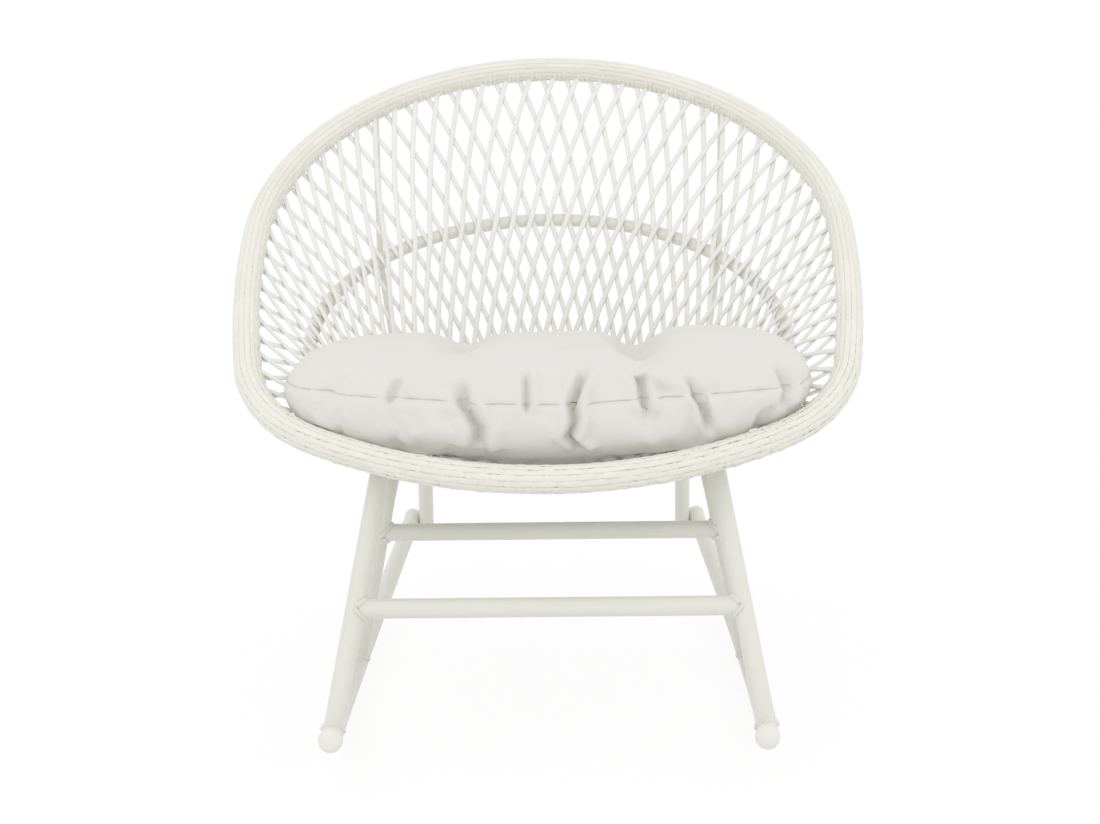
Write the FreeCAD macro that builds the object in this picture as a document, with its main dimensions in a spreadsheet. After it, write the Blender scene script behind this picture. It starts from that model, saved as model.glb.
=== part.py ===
import FreeCAD, Part
import math
import os

# Rocking armchair: a tilted oval rim and two hoops of steel tube carry a shell of crossed
# wicker strands, a loose cushion lies in the shell, and two leaning rockers carry the legs.
# X runs to the sitter's left, Y to the back, Z up; the floor is Z = 0. Millimetres, degrees.

Vector = FreeCAD.Vector
SIDES = {"left": -1, "right": 1}
LAYS = {"left_lay": 1, "right_lay": -1}

DRIVING_SIZES = {
    # Rim, an oval hoop of four kinds of arc in one tilted plane, by its centre line
    "rim_tilt": 34, "rim_front_y": -324, "rim_front_z": 374, "rim_length": 904,
    "rim_half_width": 423, "rim_front_radius": 648, "rim_corner_radius": 188,
    "rim_corner_inset": 23.3, "rim_core_diameter": 28, "rim_wrap_diameter": 36,
    # Middle hoop, half way down the shell
    "hoop_radius": 340, "hoop_tilt": 24, "hoop_centre_y": 28.4, "hoop_centre_z": 501.7,
    "hoop_diameter": 20,
    # Seat ring, lying on the rails of the rear bows
    "ring_radius": 225, "ring_centre_y": 30, "ring_diameter": 14,
    # Wicker strands
    "strand_count": 72, "strand_width": 9, "strand_thickness": 6, "lay_gap": 3,
    "strand_end_gap": 0.5, "back_step_mean": 1.5, "back_step_swing": 0.5,
    "seat_step_mean": 3, "seat_step_swing": 1, "pan_pitch": 40, "pan_angle": 30,
    # Rockers, each an arc in a plane that leans inwards going up
    "rocker_radius": 1070, "rocker_lean": 22, "rocker_half_track": 289, "rocker_low_y": -40,
    "rocker_front_y": -440, "rocker_rear_y": 440, "rocker_diameter": 28,
    # Legs, bows and stretchers
    "leg_diameter": 25, "front_leg_foot_y": -368, "front_leg_top_x": 211,
    "bow_foot_y": 10, "bow_corner_y": -45, "rail_height": 330, "tail_y": 425, "tail_depth": 2,
    "bow_front_bend": 65, "bow_rear_bend": 85,
    "front_stretcher_height": 203, "rear_stretcher_height": 224,
    # Stays behind the shell
    "stay_diameter": 10, "stay_rim_x": 268, "stay_hoop_x": 255, "stay_foot_y": 160,
    "stay_bend": 300,
    # Walls, plugs and clearances
    "tube_wall": 2, "shell_tube_wall": 1.2, "cap_head": 8, "cap_spigot": 18, "cap_round": 5,
    "weld_gap": 0.2, "seat_gap": 0.3,
    # Cushion
    "cushion_half_width": 308, "cushion_front_y": -288, "cushion_back_y": 225,
    "cushion_crown": 113, "cushion_end_rise": 100, "cushion_end_drop": 2, "cushion_flat_x": 160,
    "cushion_front_taper": 80, "cushion_back_taper": 315,
    "channel_x": 140, "channel_depth": 24, "channel_width": 38,
}
CUSHION_STATIONS = 24
# A strand's flat six-sided section, in halves of its width and thickness
STRAND_SECTION = [(1, 0), (0.5, 1), (-0.5, 1), (-1, 0), (-0.5, -1), (0.5, -1)]

doc = FreeCAD.newDocument("RockingArmchair")
sheet = doc.addObject("Spreadsheet::Sheet", "sizes")
for row, (alias, value) in enumerate(DRIVING_SIZES.items(), start=1):
    sheet.set(f"A{row}", alias)
    sheet.set(f"B{row}", str(value))
    sheet.setAlias(f"B{row}", alias)
doc.recompute()

pieces = []


def size(alias):
    """The value of one named cell of the sheet."""
    return float(getattr(sheet, alias))


def keep(feature, label):
    """Counts a finished document object as one sub-part under its own name."""
    feature.Label = label
    pieces.append(feature)
    return feature


def turned(base, x_axis, y_axis):
    """Placement whose local X and Y run along the two given directions."""
    z_axis = x_axis.cross(y_axis)
    return FreeCAD.Placement(base, FreeCAD.Rotation(x_axis, y_axis, z_axis, "ZXY"))


def facing(base, direction):
    """Placement whose local Z runs along the given direction."""
    return FreeCAD.Placement(base, FreeCAD.Rotation(Vector(0, 0, 1), direction))


def unit(vector):
    """A copy of the vector with length 1."""
    return Vector(vector).normalize()


# Paths

def bent_path(points, bends):
    """A wire of straight runs through the points, rounded by the bend radius at each inner one."""
    edges = []
    start = points[0]
    for before, corner, after, radius in zip(points, points[1:], points[2:], bends):
        back = unit(before - corner)
        ahead = unit(after - corner)
        half_angle = back.getAngle(ahead) / 2
        reach = radius / math.tan(half_angle)
        inward = unit(back + ahead)
        middle = corner + inward * (radius / math.sin(half_angle) - radius)
        arc_start = corner + back * reach
        arc_end = corner + ahead * reach
        edges.append(Part.LineSegment(start, arc_start).toShape())
        edges.append(Part.Arc(arc_start, middle, arc_end).toShape())
        start = arc_end
    edges.append(Part.LineSegment(start, points[-1]).toShape())
    return Part.Wire(edges)


def add_path(name, wire):
    """Puts a wire in the document."""
    path = doc.addObject("Part::Feature", name)
    path.Shape = wire
    return path


def sweep(name, path, radius):
    """A solid rod along a path, its radius bound to the sheet."""
    first = path.Shape.OrderedEdges[0]
    section = doc.addObject("Part::Circle", name + "_section")
    section.setExpression("Radius", radius)
    section.Placement = facing(first.valueAt(first.FirstParameter), first.tangentAt(first.FirstParameter))
    rod = doc.addObject("Part::Sweep", name)
    rod.Sections = [section]
    rod.Spine = (path, [f"Edge{number + 1}" for number in range(len(path.Shape.Edges))])
    rod.Solid = True
    rod.Frenet = False
    return rod


def cut(name, base, tool):
    """Base less tool."""
    result = doc.addObject("Part::Cut", name)
    result.Base = base
    result.Tool = tool
    return result


def cut_all(name, base, tools):
    """Base less every tool in turn."""
    for number, tool in enumerate(tools, start=1):
        base = cut(f"{name}_cope_{number}", base, tool)
    return base


def swept_tube(name, path, diameter):
    """A tube of the shared wall along a path."""
    outer = sweep(name + "_outer", path, f"sizes.{diameter} / 2")
    bore = sweep(name + "_bore", path, f"sizes.{diameter} / 2 - sizes.tube_wall")
    return cut(name + "_tube", outer, bore)


def cylinder(name, start, end, radius):
    """A rod between two points, its radius bound to the sheet."""
    rod = doc.addObject("Part::Cylinder", name)
    rod.setExpression("Radius", radius)
    rod.Height = (end - start).Length
    rod.Placement = facing(start, end - start)
    return rod


def straight_tube(name, start, end, diameter):
    """A tube of the shared wall between two points."""
    outer = cylinder(name + "_outer", start, end, f"sizes.{diameter} / 2")
    bore = cylinder(name + "_bore", start, end, f"sizes.{diameter} / 2 - sizes.tube_wall")
    return cut(name + "_tube", outer, bore)


def blank(name, start, end, diameter):
    """A tube's outside with the weld gap round it, for coping what meets it."""
    return cylinder(name + "_blank", start, end, f"sizes.{diameter} / 2 + sizes.weld_gap")


# Rim

def tilted(x, along, tilt, base_y, base_z):
    """A point of a plane that climbs to the back at a tilt in degrees."""
    slope = math.radians(tilt)
    return Vector(x, base_y + along * math.cos(slope), base_z + along * math.sin(slope))


def rim_arcs():
    """Arcs of the rim's right half from front to back: centre x, centre along, radius, two angles."""
    front = size("rim_front_radius")
    corner = size("rim_corner_radius")
    back = size("rim_half_width")
    inset = size("rim_corner_inset")
    corner_x = back - corner - inset
    front_turn = math.asin(corner_x / (front - corner))
    corner_along = front - (front - corner) * math.cos(front_turn)
    back_along = size("rim_length") - back
    rise = back_along - corner_along
    side_excess = (inset ** 2 + rise ** 2) / (2 * inset)
    side = corner + side_excess
    corner_turn = math.asin((side_excess - inset) / side_excess)
    return [
        (0, front, front, 0, front_turn),
        (corner_x, corner_along, corner, front_turn, corner_turn),
        (back - side, back_along, side, corner_turn, math.pi / 2),
        (0, back_along, back, math.pi / 2, math.pi),
    ]


def rim_plane(x, along):
    """A point of the rim's plane, along it from the front."""
    return tilted(x, along, size("rim_tilt"), size("rim_front_y"), size("rim_front_z"))


def rim_half_length():
    """Length of the rim's centre line from front to back."""
    return sum(radius * (end - start) for _, _, radius, start, end in rim_arcs())


def rim_point(share):
    """Point and rate of the rim at a share of its length, from the back round by +X."""
    half = rim_half_length()
    travelled = (share % 1) * 2 * half
    mirrored = travelled > half
    left = travelled - half if mirrored else half - travelled
    for centre_x, centre_along, radius, start, end in rim_arcs():
        length = radius * (end - start)
        if left <= length or end == math.pi:
            break
        left -= length
    angle = start + left / radius
    x = centre_x + radius * math.sin(angle)
    along = centre_along - radius * math.cos(angle)
    rate = (rim_plane(math.cos(angle), math.sin(angle)) - rim_plane(0, 0)) * (2 * half)
    if mirrored:
        return rim_plane(-x, along), Vector(-rate.x, rate.y, rate.z)
    return rim_plane(x, along), rate * -1


def rim_path():
    """The rim's closed centre line."""
    edges = []
    for centre_x, centre_along, radius, start, end in rim_arcs():
        middle = (start + end) / 2
        spots = []
        for angle in (start, middle, end):
            spots.append((centre_x + radius * math.sin(angle), centre_along - radius * math.cos(angle)))
        for side in SIDES.values():
            arc = Part.Arc(*[rim_plane(side * x, along) for x, along in spots])
            edges.append(arc.toShape())
    return Part.Wire(Part.__sortEdges__(edges))


rim_line = add_path("rim_line", rim_path())
rim_core_outer = sweep("rim_core_outer", rim_line, "sizes.rim_core_diameter / 2")
rim_core_bore = sweep("rim_core_bore", rim_line, "sizes.rim_core_diameter / 2 - sizes.shell_tube_wall")
keep(cut("rim_core", rim_core_outer, rim_core_bore), "rim_core")
rim_sleeve = sweep("rim_sleeve", rim_line, "sizes.rim_wrap_diameter / 2")
rim_sleeve_bore = sweep("rim_sleeve_bore", rim_line, "sizes.rim_core_diameter / 2 + sizes.seat_gap")
keep(cut("rim_wrap", rim_sleeve, rim_sleeve_bore), "rim_wrap")
rim_blank = sweep("rim_blank", rim_line, "sizes.rim_wrap_diameter / 2 + sizes.weld_gap")


# Hoop and seat ring

def torus(name, radius, tube_radius, placement):
    """A closed or open round of rod, both radii bound to the sheet."""
    round_rod = doc.addObject("Part::Torus", name)
    round_rod.setExpression("Radius1", radius)
    round_rod.setExpression("Radius2", tube_radius)
    round_rod.Placement = placement
    return round_rod


def torus_tube(name, radius, diameter, placement):
    """A round of the shell's thin-walled tube."""
    outer = torus(name + "_outer", radius, f"sizes.{diameter} / 2", placement)
    bore = torus(name + "_bore", radius, f"sizes.{diameter} / 2 - sizes.shell_tube_wall", placement)
    return cut(name, outer, bore)


def hoop_point(share):
    """Point and rate of the middle hoop at a share of its length, from the back round by +X."""
    angle = share * 2 * math.pi
    radius = size("hoop_radius")
    tilt = size("hoop_tilt")
    centre = (size("hoop_centre_y"), size("hoop_centre_z"))
    point = tilted(radius * math.sin(angle), radius * math.cos(angle), tilt, *centre)
    tangent = tilted(math.cos(angle), -math.sin(angle), tilt, 0, 0)
    return point, tangent * (2 * math.pi * radius)


def lay_offset():
    """Half the distance between the middles of the two crossing layers."""
    return (size("strand_thickness") + size("lay_gap")) / 2


def ring_height():
    """Height of the seat ring's centre line, resting on the rails."""
    return size("rail_height") + (size("leg_diameter") + size("ring_diameter")) / 2 + size("weld_gap")


def ring_point(share):
    """Point and rate of the seat ring at a share of its length, from the back round by +X."""
    angle = share * 2 * math.pi
    radius = size("ring_radius")
    centre = (size("ring_centre_y"), ring_height())
    point = tilted(radius * math.sin(angle), radius * math.cos(angle), 0, *centre)
    return point, Vector(math.cos(angle), -math.sin(angle), 0) * (2 * math.pi * radius)


hoop_centre = Vector(0, size("hoop_centre_y"), size("hoop_centre_z"))
hoop_place = turned(hoop_centre, Vector(1, 0, 0), tilted(0, 1, size("hoop_tilt"), 0, 0))
keep(torus_tube("mid_hoop", "sizes.hoop_radius", "hoop_diameter", hoop_place), "mid_hoop")
hoop_blank = torus("hoop_blank", "sizes.hoop_radius", "sizes.hoop_diameter / 2 + sizes.weld_gap", hoop_place)
ring_place = FreeCAD.Placement(Vector(0, size("ring_centre_y"), ring_height()), FreeCAD.Rotation())
keep(torus_tube("seat_ring", "sizes.ring_radius", "ring_diameter", ring_place), "seat_ring")


# Rockers

def rocker_angle(y):
    """Angle along the rocker's arc, from its lowest point, at a place from front to back."""
    return math.asin((y - size("rocker_low_y")) / size("rocker_radius"))


def rocker_axes(side):
    """The rocker plane's level and climbing directions."""
    lean = math.radians(size("rocker_lean"))
    return Vector(0, 1, 0), Vector(-side * math.sin(lean), 0, math.cos(lean))


def rocker_centre(side):
    """Centre of the rocker's arc."""
    level, climb = rocker_axes(side)
    low = Vector(side * size("rocker_half_track"), size("rocker_low_y"), size("rocker_diameter") / 2)
    return low + climb * size("rocker_radius")


def rocker_point(side, y):
    """Point and rearward tangent of the rocker's centre line."""
    level, climb = rocker_axes(side)
    angle = rocker_angle(y)
    spoke = level * math.sin(angle) - climb * math.cos(angle)
    tangent = level * math.cos(angle) + climb * math.sin(angle)
    return rocker_centre(side) + spoke * size("rocker_radius"), tangent


def rocker_rod(name, side, radius):
    """The rocker's arc as a rod whose radius is bound to the sheet."""
    level, climb = rocker_axes(side)
    start = rocker_angle(size("rocker_front_y"))
    end = rocker_angle(size("rocker_rear_y"))
    spoke = level * math.sin(start) - climb * math.cos(start)
    ahead = level * math.cos(start) + climb * math.sin(start)
    place = turned(rocker_centre(side), spoke, ahead)
    rod = torus(name, "sizes.rocker_radius", radius, place)
    rod.Angle3 = math.degrees(end - start)
    return rod


def end_cap(label, place, diameter):
    """A push-in plug: a rounded head over the tube's end and a spigot in its bore."""
    head = doc.addObject("Part::Cylinder", label + "_head")
    head.setExpression("Radius", f"sizes.{diameter} / 2")
    head.setExpression("Height", "sizes.cap_head")
    spigot = doc.addObject("Part::Cylinder", label + "_spigot")
    spigot.setExpression("Radius", f"sizes.{diameter} / 2 - sizes.tube_wall - sizes.weld_gap")
    spigot.setExpression("Height", "sizes.cap_spigot")
    spigot.setExpression("Placement.Base.z", "-sizes.cap_spigot")
    doc.recompute()
    rounded = doc.addObject("Part::Fillet", label + "_rounded")
    rounded.Base = head
    top_edge = max(range(len(head.Shape.Edges)), key=lambda number: head.Shape.Edges[number].CenterOfMass.z)
    rounded.Edges = [(top_edge + 1, size("cap_round"), size("cap_round"))]
    plug = doc.addObject("Part::Fuse", label)
    plug.Base = rounded
    plug.Tool = spigot
    plug.Placement = place
    return keep(plug, label)


rocker_blanks = {}
for side_name, side in SIDES.items():
    name = "rocker_" + side_name
    outer = rocker_rod(name + "_outer", side, "sizes.rocker_diameter / 2")
    bore = rocker_rod(name + "_bore", side, "sizes.rocker_diameter / 2 - sizes.tube_wall")
    keep(cut(name, outer, bore), name)
    rocker_blanks[side] = rocker_rod(name + "_blank", side, "sizes.rocker_diameter / 2 + sizes.weld_gap")
    for end_name, y, outward in (("front", size("rocker_front_y"), -1), ("rear", size("rocker_rear_y"), 1)):
        point, tangent = rocker_point(side, y)
        place = facing(point + tangent * (outward * size("weld_gap")), tangent * outward)
        end_cap(f"{end_name}_cap_{side_name}", place, "rocker_diameter")


# Front legs, rear bows and stretchers

def between(start, end, height):
    """The point of a straight run at a height."""
    share = (height - start.z) / (end.z - start.z)
    return start + (end - start) * share


def rail_x(side):
    """Sideways place of the rails: their tails lie against the inside of the rockers' rear ends."""
    point, tangent = rocker_point(side, size("tail_y"))
    across = unit(tangent.cross(Vector(0, 0, 1)))
    clear = (size("rocker_diameter") + size("leg_diameter")) / 2 + size("weld_gap")
    return point.x - side * clear / abs(across.x)


def leg_trim(name, top):
    """A block that cuts a leg's top level, just under the outer strands."""
    trim = doc.addObject("Part::Box", name + "_trim")
    for edge in ("Length", "Width", "Height"):
        trim.setExpression(edge, "4 * sizes.leg_diameter")
    half = 2 * size("leg_diameter")
    under = lay_offset() + size("strand_thickness") / 2 + size("seat_gap")
    trim.Placement.Base = top - Vector(half, half, under)
    return trim


stretcher_ends = {"front": {}, "rear": {}}
leg_blanks = {"front": {}, "rear": {}}
bow_blanks = {}
for side_name, side in SIDES.items():
    share = math.pi - math.asin(size("front_leg_top_x") / size("hoop_radius"))
    top, _ = hoop_point(side * share / (2 * math.pi))
    foot, _ = rocker_point(side, size("front_leg_foot_y"))
    name = "front_leg_" + side_name
    leg = straight_tube(name, foot, top, "leg_diameter")
    keep(cut_all(name, leg, [hoop_blank, leg_trim(name, top), rocker_blanks[side]]), name)
    leg_blanks["front"][side] = blank(name, foot, top, "leg_diameter")
    stretcher_ends["front"][side] = between(foot, top, size("front_stretcher_height"))

    name = "rear_bow_" + side_name
    foot, _ = rocker_point(side, size("bow_foot_y"))
    tail, _ = rocker_point(side, size("tail_y"))
    rail = rail_x(side)
    corner = Vector(rail, size("bow_corner_y"), size("rail_height"))
    rear_corner = Vector(rail, size("tail_y"), size("rail_height"))
    tail_end = Vector(rail, size("tail_y"), tail.z - size("tail_depth"))
    route = [foot, corner, rear_corner, tail_end]
    bow_line = add_path(name + "_line", bent_path(route, [size("bow_front_bend"), size("bow_rear_bend")]))
    bow = swept_tube(name, bow_line, "leg_diameter")
    keep(cut_all(name, bow, [rocker_blanks[side]]), name)
    bow_blanks[side] = sweep(name + "_blank", bow_line, "sizes.leg_diameter / 2 + sizes.weld_gap")
    leg_blanks["rear"][side] = blank(name, foot, corner, "leg_diameter")
    stretcher_ends["rear"][side] = between(foot, corner, size("rear_stretcher_height"))
    tail_place = facing(tail_end - Vector(0, 0, size("weld_gap")), Vector(0, 0, -1))
    end_cap("tail_cap_" + side_name, tail_place, "leg_diameter")

for row_name, ends in stretcher_ends.items():
    name = row_name + "_stretcher"
    stretcher = straight_tube(name, ends[-1], ends[1], "leg_diameter")
    keep(cut_all(name, stretcher, [leg_blanks[row_name][-1], leg_blanks[row_name][1]]), name)


# Stays behind the shell

for side_name, side in SIDES.items():
    name = "back_stay_" + side_name
    back_centre_along = size("rim_length") - size("rim_half_width")
    rim_reach = math.sqrt(size("rim_half_width") ** 2 - size("stay_rim_x") ** 2)
    top = rim_plane(side * size("stay_rim_x"), back_centre_along + rim_reach)
    foot = Vector(rail_x(side), size("stay_foot_y"), size("rail_height"))
    hoop_share = side * math.asin(size("stay_hoop_x") / size("hoop_radius")) / (2 * math.pi)
    hoop_spot, hoop_rate = hoop_point(hoop_share)
    outward = unit(hoop_rate.cross(foot - top)) * side
    if outward.y < 0:
        outward = outward * -1
    clear = (size("hoop_diameter") + size("stay_diameter")) / 2 + size("seat_gap")
    route = [foot, hoop_spot + outward * clear, top + outward * clear]
    stay_line = add_path(name + "_line", bent_path(route, [size("stay_bend")]))
    stay = sweep(name + "_rod", stay_line, "sizes.stay_diameter / 2")
    keep(cut_all(name, stay, [rim_blank, bow_blanks[side]]), name)


# Wicker strands

def strand_corners():
    """Corners of a strand's section, aside from its middle line and above it."""
    half_width = size("strand_width") / 2
    half_thickness = size("strand_thickness") / 2
    return [(half_width * aside, half_thickness * height) for aside, height in STRAND_SECTION]


def strand(line, normals):
    """One strand: a six-sided flat strip along straight runs, mitred where it bends."""
    runs = [unit(after - before) for before, after in zip(line, line[1:])]
    across = unit(runs[0].cross(normals[0]))
    up = across.cross(runs[0])
    ends = [[line[0] + across * aside + up * height for aside, height in strand_corners()]]
    cut_planes = [unit(before + after) for before, after in zip(runs, runs[1:])] + [runs[-1]]
    for spot, run, square in zip(line[1:], runs, cut_planes):
        moved = [corner + run * ((spot - corner).dot(square) / run.dot(square)) for corner in ends[-1]]
        ends.append(moved)
    return Part.makeLoft([Part.makePolygon(ring + ring[:1]) for ring in ends], True, True)


def tube_reach(tube_diameter, height):
    """How far a tube's side, with the strands' gap, reaches at a height off its middle plane."""
    radius = tube_diameter / 2 + size("strand_end_gap")
    return math.sqrt(max(0, radius ** 2 - height ** 2))


def short_of(tube_diameter, direction, rate):
    """How far along its own line a strand's end stops from the centre line of the tube it meets."""
    slant = abs(unit(direction).dot(unit(rate)))
    square = math.sqrt(1 - slant ** 2)
    reaches = []
    for aside, height in strand_corners():
        reaches.append(tube_reach(tube_diameter, lay_offset() + height) + abs(aside) * slant)
    return max(reaches) / square


def shell_spot(upper, lower, share, down, offset):
    """A point of the shell between two hoops, a share of the way down, moved off it; and its normal."""
    high, high_rate = upper(share)
    low, low_rate = lower(share)
    normal = unit((high_rate * (1 - down) + low_rate * down).cross(low - high))
    return high * (1 - down) + low * down + normal * offset, normal


def hung_strand(upper, lower, diameters, shares, offset):
    """A strand from one hoop to the next, bent once so that it follows the shell."""
    line = []
    normals = []
    for down in (0, 0.5, 1):
        share = shares[0] * (1 - down) + shares[1] * down
        spot, normal = shell_spot(upper, lower, share, down, offset)
        line.append(spot)
        normals.append(normal)
    first_run = unit(line[1] - line[0])
    last_run = unit(line[2] - line[1])
    line[0] = line[0] + first_run * short_of(diameters[0], first_run, upper(shares[0])[1])
    line[2] = line[2] - last_run * short_of(diameters[1], last_run, lower(shares[1])[1])
    return strand(line, normals)


def shell_strands(turn):
    """The back and seat strands of one lay: each runs from the rim over the hoop to the seat ring."""
    count = int(size("strand_count"))
    offset = turn * lay_offset()
    back_ends = (size("rim_wrap_diameter"), size("hoop_diameter"))
    seat_ends = (size("hoop_diameter"), size("ring_diameter"))
    back = []
    seat = []
    for number in range(count):
        swing = math.cos(2 * math.pi * number / count)
        back_step = size("back_step_mean") + size("back_step_swing") * swing
        seat_step = size("seat_step_mean") + size("seat_step_swing") * swing
        at_rim = number / count
        at_hoop = at_rim + turn * back_step / count
        at_ring = at_hoop + turn * seat_step / count
        back.append(hung_strand(rim_point, hoop_point, back_ends, (at_rim, at_hoop), offset))
        seat.append(hung_strand(hoop_point, ring_point, seat_ends, (at_hoop, at_ring), offset))
    return back, seat


def pan_strands(turn):
    """Parallel strands of one lay across the seat ring."""
    angle = math.radians(90 + turn * size("pan_angle"))
    along = Vector(math.cos(angle), math.sin(angle), 0)
    across = Vector(-along.y, along.x, 0)
    centre = Vector(0, size("ring_centre_y"), ring_height() + turn * lay_offset())
    reach = int((size("ring_radius") - size("pan_pitch")) / size("pan_pitch"))
    strands = []
    for number in range(-reach, reach + 1):
        halves = []
        for aside, height in strand_corners():
            inside = size("ring_radius") - tube_reach(size("ring_diameter"), lay_offset() + height)
            halves.append(math.sqrt(inside ** 2 - (abs(number) * size("pan_pitch") + abs(aside)) ** 2))
        half = min(halves)
        middle = centre + across * (number * size("pan_pitch"))
        strands.append(strand([middle - along * half, middle + along * half], [Vector(0, 0, 1)]))
    return strands


def keep_strands(label, strands):
    """One node for the separate strands of one lay."""
    group = doc.addObject("Part::Feature", label)
    group.Shape = Part.makeCompound(strands)
    keep(group, label)


for lay_name, turn in LAYS.items():
    back, seat = shell_strands(turn)
    keep_strands("back_strands_" + lay_name, back)
    keep_strands("seat_strands_" + lay_name, seat)
    keep_strands("pan_strands_" + lay_name, pan_strands(turn))


# Cushion, three padded lumps between sewn channels, drawn in at its ends

def cushion_section(x):
    """One closed section: flat below, rising to a rounded nose, a crowned top and a rounded back."""
    seat = ring_height() + lay_offset() + size("strand_thickness") / 2 + size("seat_gap")
    outward = abs(x) / size("cushion_half_width")
    flat = size("cushion_flat_x")
    lifted = max(0, (abs(x) - flat) / (size("cushion_half_width") - flat))
    front = size("cushion_front_y") + size("cushion_front_taper") * outward ** 3
    back = size("cushion_back_y") - size("cushion_back_taper") * outward ** 3
    bottom = seat + size("cushion_end_rise") * lifted
    channel = math.exp(-((abs(x) - size("channel_x")) / size("channel_width")) ** 2)
    top = seat + size("cushion_crown") - size("channel_depth") * channel - size("cushion_end_drop") * outward ** 8
    height = top - bottom
    depth = back - front

    def spot(depth_share, height_share):
        return Vector(x, front + depth * depth_share, bottom + height * height_share)

    back_low = spot(0.80, 0)
    front_low = spot(0.45, 0)
    nose_low = spot(0.06, 0.38)
    nose_high = spot(0.10, 0.84)
    back_high = spot(0.90, 0.80)
    heel = spot(0.95, 0.18)
    return Part.Wire([
        Part.LineSegment(back_low, front_low).toShape(),
        Part.LineSegment(front_low, nose_low).toShape(),
        Part.Arc(nose_low, spot(0, 0.6), nose_high).toShape(),
        Part.Arc(nose_high, spot(0.55, 1), back_high).toShape(),
        Part.Arc(back_high, spot(1, 0.5), heel).toShape(),
        Part.LineSegment(heel, back_low).toShape(),
    ])


sections = []
for number in range(CUSHION_STATIONS + 1):
    sections.append(cushion_section(size("cushion_half_width") * (2 * number / CUSHION_STATIONS - 1)))
cushion = doc.addObject("Part::Feature", "seat_cushion")
cushion.Shape = Part.makeLoft(sections, True, True)
keep(cushion, "seat_cushion")


# Checks and files

doc.recompute()
for feature in doc.Objects:
    if "Invalid" in feature.State or "Error" in feature.State:
        raise RuntimeError(f"{feature.Name} failed: {feature.State}")
for piece in pieces:
    if piece.Shape.isNull() or not piece.Shape.isValid() or not piece.Shape.Solids:
        raise RuntimeError(f"{piece.Label} has no valid solid")

os.makedirs("parts", exist_ok=True)
for piece in pieces:
    piece.Shape.exportStep(os.path.join("parts", piece.Label + ".step"))
    solids = len(piece.Shape.Solids)
    print(f"{piece.Label}: {solids} solid(s), {piece.Shape.Volume / 1000:.1f} cm3")
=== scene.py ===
"""Rocking armchair: an open shell of crossed strands on leaning rockers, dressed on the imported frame.

Metres and degrees. X runs across the chair, Y from front to back, Z up, and the floor is Z = 0.
"""
from __future__ import annotations

import logging
import math
import random
from dataclasses import dataclass, field
from enum import Enum

import bmesh
import bpy
from mathutils import Matrix, Vector
from mathutils.bvhtree import BVHTree
from mathutils.kdtree import KDTree


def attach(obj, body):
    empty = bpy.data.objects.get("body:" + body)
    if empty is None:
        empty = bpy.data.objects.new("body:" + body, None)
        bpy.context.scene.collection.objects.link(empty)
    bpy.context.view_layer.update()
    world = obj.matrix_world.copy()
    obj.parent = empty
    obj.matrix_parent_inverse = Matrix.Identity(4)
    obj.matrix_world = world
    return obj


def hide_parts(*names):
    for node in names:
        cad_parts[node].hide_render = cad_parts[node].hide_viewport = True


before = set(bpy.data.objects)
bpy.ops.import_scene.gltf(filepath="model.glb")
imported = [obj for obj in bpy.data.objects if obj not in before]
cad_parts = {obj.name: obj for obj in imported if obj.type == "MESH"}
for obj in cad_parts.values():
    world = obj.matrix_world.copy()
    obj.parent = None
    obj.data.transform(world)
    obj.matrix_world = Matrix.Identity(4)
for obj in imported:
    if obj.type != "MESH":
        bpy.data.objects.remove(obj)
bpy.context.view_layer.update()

LOG = logging.getLogger("rocking_armchair")
BODY = "root"
UP = Vector((0, 0, 1))


class Slot(Enum):
    """Finish slots of the record."""

    PAINT = "frame_paint"
    RIM = "rim_band"
    WICKER = "wicker"
    PLUG = "plugs"
    CLOTH = "cushion_cloth"


class Lay(Enum):
    """The two crossing layers of strands, by the way they turn round the shell."""

    LEFT = 1
    RIGHT = -1


def paint(red: int, green: int, blue: int) -> tuple[float, float, float, float]:
    """Turns a colour as seen on a screen into the linear colour that a shader takes.

    Args:
        red: Red from 0 to 255.
        green: Green from 0 to 255.
        blue: Blue from 0 to 255.

    Returns:
        The linear colour with full alpha.
    """
    shades = []
    for part in (red, green, blue):
        share = part / 255
        shades.append(share / 12.92 if share <= 0.04045 else ((share + 0.055) / 1.055) ** 2.4)
    return (*shades, 1.0)


class Wire:
    """A node's output that plain arithmetic can be done on."""

    def __init__(self, bench: Bench, socket: bpy.types.NodeSocket) -> None:
        """Keeps the socket and the tree that it belongs to."""
        self.bench = bench
        self.socket = socket

    def __add__(self, other: Wire | float) -> Wire:
        """Sum of two values."""
        return self.bench.maths("ADD", self, other)

    def __radd__(self, other: float) -> Wire:
        """Sum with the number first."""
        return self.bench.maths("ADD", other, self)

    def __sub__(self, other: Wire | float) -> Wire:
        """Difference of two values."""
        return self.bench.maths("SUBTRACT", self, other)

    def __rsub__(self, other: float) -> Wire:
        """Difference with the number first."""
        return self.bench.maths("SUBTRACT", other, self)

    def __mul__(self, other: Wire | float) -> Wire:
        """Product of two values."""
        return self.bench.maths("MULTIPLY", self, other)

    def __rmul__(self, other: float) -> Wire:
        """Product with the number first."""
        return self.bench.maths("MULTIPLY", other, self)


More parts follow.
